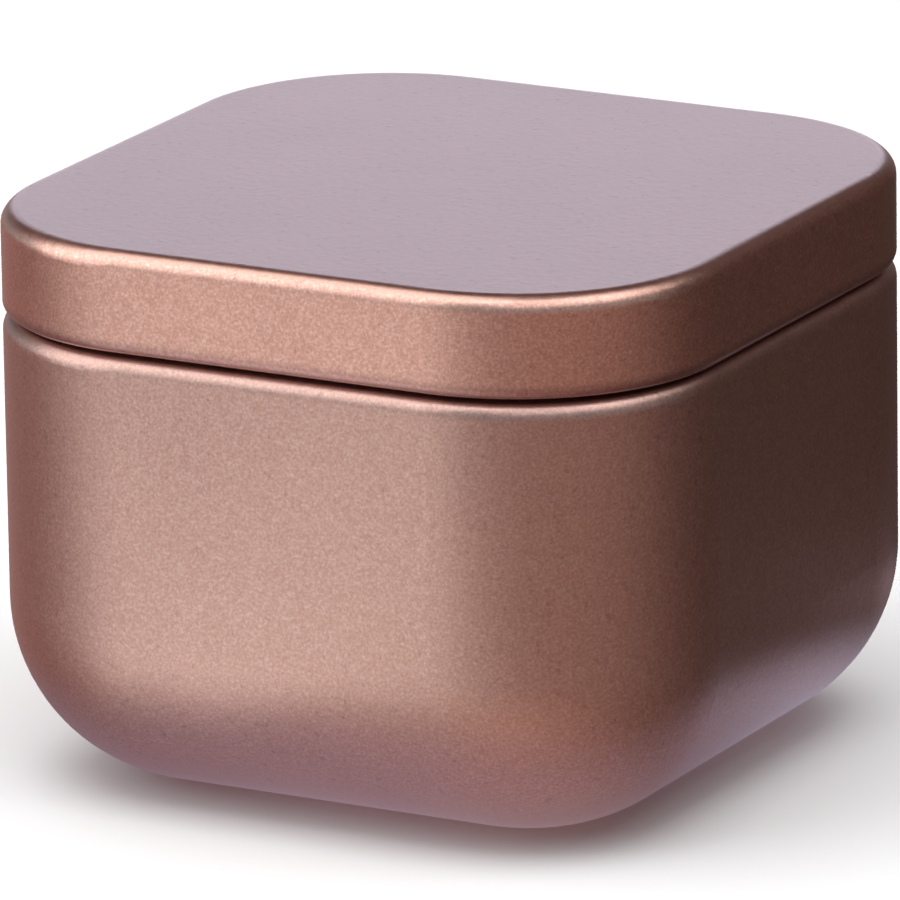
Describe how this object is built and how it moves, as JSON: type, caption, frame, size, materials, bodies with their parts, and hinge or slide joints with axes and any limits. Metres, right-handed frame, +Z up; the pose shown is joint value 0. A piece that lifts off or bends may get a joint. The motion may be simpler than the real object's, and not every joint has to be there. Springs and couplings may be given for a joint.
{
  "type": "candle tin",
  "caption": "Square tin with rounded corners and a deep rolled base, with a shallow slip-on lid that pulls straight up.",
  "frame": {"origin": "middle of the base, on the surface that the tin stands on", "axes": "+Z up out of the lid, +X and +Y square to the tin's flat sides"},
  "size_m": [0.08, 0.08, 0.061],
  "materials": {
    "body_lacquer": "satin rose gold lacquer with a fine metallic grain, on drawn tinplate",
    "lid_lacquer": "satin rose gold lacquer with a fine metallic grain, on drawn tinplate"
  },
  "bodies": {
    "tin": {"tin_body": "body_lacquer"},
    "lid": {"tin_lid": "lid_lacquer"}
  },
  "joints": [
    {"name": "lid_lift", "type": "slide", "parent": "tin", "child": "lid", "axis": [0, 0, 1], "range_m": [0, 0.03]}
  ]
}
